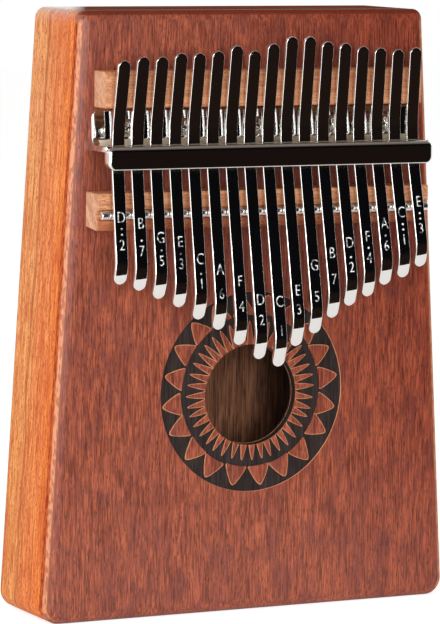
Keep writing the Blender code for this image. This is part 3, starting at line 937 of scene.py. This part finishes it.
sections = []
for k in range(17):
    reach = FLANGE_CORNER * (1 - cos(pi / 2 * k / 16))
    cut = FLANGE_CORNER - sqrt(FLANGE_CORNER ** 2 - (FLANGE_CORNER - reach) ** 2)
    inset = END_EASE - sqrt(END_EASE ** 2 - (END_EASE - reach) ** 2) if reach < END_EASE else 0.0
    sections.append((BRACKET_HALF - reach, drawn_in(plate_outline(cut), inset)))
plate = lofted("bracket_plate", mirrored(sections), [chrome, cast_corner])
for face in plate.data.polygons:
    in_corner = face.normal.z > 0.35 and face.center.z < CAST_TO
    if in_corner and abs(face.center.x) < BRACKET_HALF - FLANGE_CORNER:
        face.material_index = 1

corners = [
    (-BRACKET_HALF, BAR_LOW), (BRACKET_HALF, BAR_LOW), (BRACKET_HALF, WALL_HIGH),
    (-BRACKET_HALF, WALL_HIGH),
]
outline = rounded(corners, (0.0022, 0.0022, 0.0018, 0.0018), 12)
shape = bmesh.new()
rings = []
for inset, down in quarter(4):
    y = FRONT - BAR_UNDERSIDE - BAR_UNDER_EASE * down
    rings.append(ring_at(shape, drawn_in(outline, BAR_UNDER_EASE * inset), y))
# The bar's front edges are rounded over, most at the tail side and least at the other.
for down, inset in quarter(12):
    ring = []
    for (x, z), d in zip(outline, outward(outline)):
        n = d.normalized()
        radius = BAR_TAIL_EDGE * max(n.y, 0.0) ** 2 + BAR_LOW_EDGE * max(-n.y, 0.0) ** 2
        radius += BAR_END_EDGE * n.x ** 2
        spot = (x - n.x * radius * inset, FRONT - BAR_TOP + radius * down, z - n.y * radius * inset)
        ring.append(shape.verts.new(spot))
    rings.append(ring)
wall(shape, rings)
cover(shape, [rings[0]])
cover(shape, [rings[-1]])
bar = finished("bracket_bar", shape, [chrome], 50)


def key_x(key):
    """The place across of a key, counted from 0, in the valley under the bar."""
    return MIDDLE_KEY_X + (key - 8) * PITCH


def cut_out(piece, tool):
    """The piece with a tool's shape cut out of it, and the tool gone."""
    cut = piece.modifiers.new(tool.name, "BOOLEAN")
    cut.operation = "DIFFERENCE"
    cut.solver = "EXACT"
    cut.object = tool
    plain(piece)
    bpy.data.objects.remove(tool, do_unlink=True)


shape = bmesh.new()
for key in range(17):
    low = Vector((key_x(key) - WINDOW_HALF, FRONT - WINDOW_TOP, WALL_LOW - 0.001))
    high = Vector((key_x(key) + WINDOW_HALF, FRONT - WINDOW_FOOT, WALL_HIGH + 0.001))
    size = Matrix.Diagonal((*(high - low), 1.0))
    bmesh.ops.create_cube(shape, size=1.0, matrix=Matrix.Translation((low + high) / 2) @ size)
cut_out(plate, placed("windows", as_mesh("windows", shape)))
for piece in (plate, bar):
    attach(piece, "instrument")
    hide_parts("pressure_bracket")

# Five pan-head screws, nickel plated, with crossed recesses, hold the flange down to the solid tail of
# the body. Each stands behind a key, and was driven home to its own angle.
SCREW_KEYS = (1, 4, 8, 12, 15)
SCREW_Z = 0.1459
SEAT = 0.0012
HEAD = (
    (0.0, -0.0130), (0.0014, -0.0105), (0.0014, 0.0), (0.0027, 0.0), (0.0027, 0.0006), (0.00262, 0.0009),
    (0.00240, 0.00120), (0.0019, 0.00146), (0.0012, 0.00162), (0.0006, 0.00169), (0.0, 0.0017),
)
# The recess's arms from its middle, across and along, its floor, and the height that it is cut from.
CROSS = 0.0003
CROSS_REACH = 0.0016
CROSS_FLOOR = 0.0008
CROSS_TOP = 0.003
shape = bmesh.new()
rings = [ring_at(shape, circle(0, 0, radius, 32), -up) for radius, up in HEAD[1:-1]]
wall(shape, rings)
for ring, (_, up) in ((rings[0], HEAD[0]), (rings[-1], HEAD[-1])):
    middle = shape.verts.new((0, -up, 0))
    for i, corner in enumerate(ring):
        shape.faces.new((corner, ring[i - 1], middle))
screw = finished("screw", shape, [nickel], 40)
cross = [
    (CROSS, CROSS), (CROSS_REACH, CROSS), (CROSS_REACH, -CROSS),
    (CROSS, -CROSS), (CROSS, -CROSS_REACH), (-CROSS, -CROSS_REACH),
]
cross += [(-x, -z) for x, z in cross]
shape = bmesh.new()
rings = [ring_at(shape, cross, y) for y in (-CROSS_TOP, -CROSS_FLOOR)]
wall(shape, rings)
for ring in rings:
    cover(shape, [ring])
cut_out(screw, finished("recess", shape, [nickel]))

driven, inputs = pattern(
    "driven_screws",
    (("Places", "Geometry"), ("Screw", "Object"), ("Seed", "Int"), ("Plating", "Material")),
)
given = add(driven, "NodeGroupInput")
one = add(driven, "GeometryNodeObjectInfo", links={"Object": given.outputs["Screw"]})
turn = add(
    driven, "FunctionNodeRandomValue", {"Max": (0.0, 3.14, 0.0)}, {"Seed": given.outputs["Seed"]},
    data_type="FLOAT_VECTOR",
)
spread = add(
    driven, "GeometryNodeInstanceOnPoints",
    links={
        "Points": given.outputs["Places"], "Instance": one.outputs["Geometry"],
        "Rotation": turn.outputs["Value"],
    },
)
real = add(driven, "GeometryNodeRealizeInstances", links={0: spread.outputs[0]})
dressed = add(
    driven, "GeometryNodeSetMaterial",
    links={"Geometry": real.outputs[0], "Material": given.outputs["Plating"]},
)
add(driven, "NodeGroupOutput", links={0: dressed.outputs[0]})
seats = [(key_x(key), FRONT - SEAT, SCREW_Z) for key in SCREW_KEYS]
places = bpy.data.meshes.new("bracket_screws")
places.from_pydata(seats, [], [])
screws = placed("bracket_screws", places)
laid_out(screws, driven, inputs, {"Screw": screw, "Seed": 4, "Plating": nickel})
bpy.data.objects.remove(screw, do_unlink=True)
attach(screws, "instrument")
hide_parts(*[f"bracket_screw_{number}" for number in range(1, 6)])

# The keys: strips of polished spring steel, bent down a little at the tip, each etched near its tip with
# its note and its number, with a dot for each octave up. Each key gets edges across it in front of the rod,
# to flex at.
TINE = 0.0039
THICK = 0.0012
FRONT_EASE = 0.00026
REAR_EASE = 0.00014
TAIL_RIM = 0.00040
END_ARCH = TINE * 0.46
TAIL_POWER = 1.5
TIP_POWER = 2.1
BLUNT = 0.0001
REF_Z = 0.1373
VALLEY = 0.0088
VALLEY_FRONT_Z = 0.1374
VALLEY_REAR_Z = 0.1472
SLOPE = 0.196
REAR_SLOPE = 0.136
TIP_SLOPE = 0.37
BEND = 0.030
TIP_BEND = 0.0110
FLEX_Z = ROD_Z - 0.0003
FLEX_STEP = 0.0008
MARK_X = 0.0002
MARK_RISE = 0.00002
LETTER = 0.0047
NUMBER = 0.0045
NARROWED = 0.80
DOT = 0.0060
# For each key: its tail, tip and bent length, then its note, its number and their heights over the bend,
# and the dots between them. Lengths are in millimetres, and so are the first dot's height over the number
# and the step to the next dot.
DOT_OVER = 2.9
DOT_STEP = 1.6
KEYS = (
    (166.0, 101.4, 5.0, "D", 14.7, "2", 6.8, 2),
    (167.0, 99.4, 5.7, "B", 14.2, "7", 6.3, 1),
    (167.0, 96.8, 6.5, "G", 11.8, "5", 5.1, 1),
    (168.0, 94.2, 6.1, "E", 13.4, "3", 7.0, 1),
    (168.0, 90.4, 6.7, "C", 11.5, "1", 4.3, 1),
    (168.5, 87.2, 6.8, "A", 11.4, "6", 4.4, 0),
    (170.0, 82.6, 6.2, "F", 13.0, "4", 5.6, 0),
    (168.5, 78.2, 6.6, "D", 11.4, "2", 5.5, 0),
    (170.5, 75.7, 7.4, "C", 12.4, "1", 3.9, 0),
    (172.5, 81.4, 7.4, "E", 9.7, "3", 4.2, 0),
    (172.5, 84.9, 6.6, "G", 14.1, "5", 4.9, 0),
    (171.0, 89.2, 6.6, "B", 13.2, "7", 5.5, 0),
    (170.5, 92.5, 6.9, "D", 12.4, "2", 5.2, 1),
    (169.5, 95.0, 6.5, "F", 11.9, "4", 5.6, 1),
    (169.0, 98.2, 6.8, "A", 12.1, "6", 5.5, 1),
    (168.5, 100.2, 6.2, "C", 13.8, "1", 5.7, 2),
    (169.0, 103.2, 6.0, "E", 14.0, "3", 6.0, 2),
)

# Steel roughened by the etch, its colour dark grey to near white by a noise: partly wear on the marks, and
# partly painted glints where the etch catches the light unevenly.
etched, tree, shader = material("etched_steel")
spot = add(tree, "ShaderNodeTexCoord").outputs["Object"]
frost = add(tree, "ShaderNodeTexNoise", {"Scale": 900.0, "Detail": 2.0}, {"Vector": spot})
worn_and_glinting = add(
    tree, "ShaderNodeMapRange", {"From Min": 0.40, "From Max": 0.56}, {"Value": frost.outputs["Fac"]},
)
frosted = add(
    tree, "ShaderNodeMix", {"A": colour("484848"), "B": colour("F4F4F2")},
    {"Factor": worn_and_glinting.outputs[0]}, data_type="RGBA",
)
tree.links.new(frosted.outputs["Result"], shader.inputs["Base Color"])
shader.inputs["Roughness"].default_value = 0.6


def bend(points, radii, steps):
    """The open path with its inner corners replaced by arcs."""
    path = [points[0]]
    for i, radius in enumerate(radii):
        path += corner_arc(*points[i:i + 3], radius, steps)
    return [Vector(point) for point in (*path, points[-1])]


def height_at(z):
    """The height of a key's straight front stretch over the soundboard."""
    return VALLEY + SLOPE * (VALLEY_FRONT_Z - z)


def key_end(end, inner, power):
    """Stations over a rounded end, from the very end inwards, as point, half width and way in from the end.

    A low power makes the end more pointed.
    """
    back = (inner - end).normalized()
    least = TINE * 0.02
    stations = []
    for k in range(13):
        left = cos(pi / 2 * k / 12)
        half = TINE / 2 * (1 - left ** 2) ** (1 / power)
        stations.append((end + back * END_ARCH * (1 - left), max(half, least), END_ARCH * (1 - left)))
    return stations


def note_mark(text, size, narrowed):
    """A letter or number as a flat mesh about its own middle, standing up along +Y."""
    words = bpy.data.curves.new("mark", "FONT")
    words.body = text
    words.size = size
    words.align_x = "CENTER"
    words.align_y = "CENTER"
    words.extrude = 0.00002
    words.offset = -0.00004
    holder = placed("mark", words)
    mesh = evaluated_mesh(holder)
    bpy.data.objects.remove(holder, do_unlink=True)
    middle = (min(v.co.y for v in mesh.vertices) + max(v.co.y for v in mesh.vertices)) / 2
    mesh.transform(Matrix.Diagonal((narrowed, 1.0, 1.0, 1.0)) @ Matrix.Translation((0.0, -middle, 0.0)))
    return mesh


for key, (tail, tip, bent, note, note_up, number, number_up, dots) in enumerate(KEYS):
    tail /= 1000
    tip /= 1000
    crease = tip + bent / 1000 * cos(atan(TIP_SLOPE))
    rise = height_at(crease)
    turns = [
        (VALLEY + REAR_SLOPE * (tail - VALLEY_REAR_Z), tail),
        (VALLEY, VALLEY_REAR_Z),
        (VALLEY, VALLEY_FRONT_Z),
        (rise, crease),
        (rise - TIP_SLOPE * (crease - tip), tip),
    ]
    path = bend(turns, (BEND, BEND, TIP_BEND), 8)
    # The longest stretch is the straight one in front of the valley, and gets edges across it to flex at.
    straight = max(range(1, len(path)), key=lambda i: (path[i] - path[i - 1]).length)
    flexing = [FLEX_Z - FLEX_STEP * k for k in range(5)]
    path[straight:straight] = [Vector((height_at(z), z)) for z in flexing]
    stations = key_end(path[0], path[1], TAIL_POWER)
    stations += [(point, TINE / 2, TINE) for point in path[1:-1]]
    stations += key_end(path[-1], path[-2], TIP_POWER)[::-1]
    shape = bmesh.new()
    rings = []
    for i, (point, half, way_in) in enumerate(stations):
        run = (stations[min(i + 1, len(stations) - 1)][0] - stations[max(i - 1, 0)][0]).normalized()
        down = Vector((run.y, -run.x)) if run.y < 0 else Vector((-run.y, run.x))
        at_tail = point.y > REF_Z
        soft = REAR_EASE if at_tail else FRONT_EASE
        sunk = 0.0
        if at_tail and way_in < TINE:
            soft = TAIL_RIM - (TAIL_RIM - REAR_EASE) * min(way_in / END_ARCH, 1.0)
            sunk = TAIL_RIM - sqrt(TAIL_RIM ** 2 - max(TAIL_RIM - way_in, 0.0) ** 2)
        soft = min(soft, half * 0.5)
        blunt = min(BLUNT, half * 0.3)
        section = [(half - soft * inset, soft * down) for inset, down in quarter(4)]
        section += [(half, THICK - blunt), (half - blunt, THICK)]
        section += [(-x, deep) for x, deep in reversed(section)]
        ring = []
        for x, deep in section:
            spot = point + down * (sunk + deep * (1 - sunk / THICK))
            ring.append(shape.verts.new((x, -spot.x, spot.y - REF_Z)))
        rings.append(ring)
    wall(shape, rings)
    shape.faces.new(rings[0])
    shape.faces.new(rings[-1])
    bmesh.ops.recalc_face_normals(shape, faces=shape.faces)

    marks = [(note, LETTER, NARROWED, note_up), (number, NUMBER, NARROWED, number_up)]
    marks += [(".", DOT, 1.0, number_up + DOT_OVER + DOT_STEP * dot) for dot in range(dots)]
    steel_faces = len(shape.faces)
    for text, size, narrowed, up in marks:
        z = crease + up / 1000
        place = Matrix.Translation((MARK_X, -height_at(z) - MARK_RISE, z - REF_Z))
        mark = note_mark(text, size, narrowed)
        mark.transform(place @ Matrix.Rotation(pi / 2 - atan(SLOPE), 4, "X"))
        shape.from_mesh(mark)
        bpy.data.meshes.remove(mark)
    shape.faces.ensure_lookup_table()
    for face in shape.faces[steel_faces:]:
        face.material_index = 1
    x = key_x(key)
    turn = Matrix.Rotation(-FAN * x, 4, "Y")
    bmesh.ops.transform(shape, matrix=Matrix.Translation((x, FRONT, REF_Z)) @ turn, verts=shape.verts)
    name = f"key_{key + 1:02d}"
    piece = placed(name, smoothed(as_mesh(name, shape, [nickel, etched]), 30))
    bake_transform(piece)
    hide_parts(f"tine_{key + 1:02d}_tang", f"tine_{key + 1:02d}_tongue")
